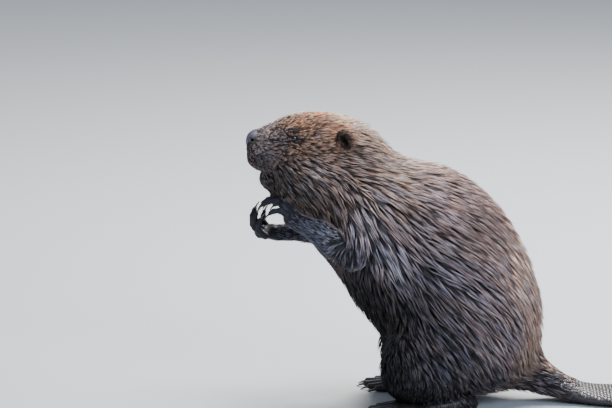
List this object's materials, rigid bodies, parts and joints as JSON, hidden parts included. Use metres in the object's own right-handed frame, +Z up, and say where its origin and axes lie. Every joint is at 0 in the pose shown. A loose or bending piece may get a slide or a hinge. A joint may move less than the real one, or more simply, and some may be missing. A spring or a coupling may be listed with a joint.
{
  "type": "beaver",
  "caption": "Life-size still model of a young beaver sitting up on webbed hind feet and a flat tail, forepaws held together under its chin, in a long wet coat.",
  "frame": {"origin": "bottom centre of the bounding box, on the floor the beaver sits on", "axes": "+Z up, the beaver faces -X, its left side is -Y, its tail lies along +X"},
  "size_m": [0.644, 0.2332, 0.3847],
  "materials": {
    "coat": "long damp brown fur",
    "bare_skin": "bare damp blackish skin with a soft sheen",
    "tail_skin": "dark scaly hide",
    "claw": "worn dark horn",
    "eye": "wet glossy black"
  },
  "bodies": {
    "root": {"head": "coat", "neck": "coat", "trunk": "coat", "tail_root": "coat", "tail": "tail_skin", "eye_left": "eye", "ear_left": "coat", "foreleg_left": "coat", "forepaw_left": "bare_skin", "hind_leg_left": "coat", "hind_foot_left": "bare_skin", "fore_claw_left_1": "claw", "hind_claw_left_1": "claw", "fore_claw_left_2": "claw", "hind_claw_left_2": "claw", "fore_claw_left_3": "claw", "hind_claw_left_3": "claw", "fore_claw_left_4": "claw", "hind_claw_left_4": "claw", "fore_claw_left_5": "claw", "hind_claw_left_5": "claw", "eye_right": "eye", "ear_right": "coat", "foreleg_right": "coat", "forepaw_right": "bare_skin", "hind_leg_right": "coat", "hind_foot_right": "bare_skin", "fore_claw_right_1": "claw", "hind_claw_right_1": "claw", "fore_claw_right_2": "claw", "hind_claw_right_2": "claw", "fore_claw_right_3": "claw", "hind_claw_right_3": "claw", "fore_claw_right_4": "claw", "hind_claw_right_4": "claw", "fore_claw_right_5": "claw", "hind_claw_right_5": "claw"}
  },
  "joints": []
}
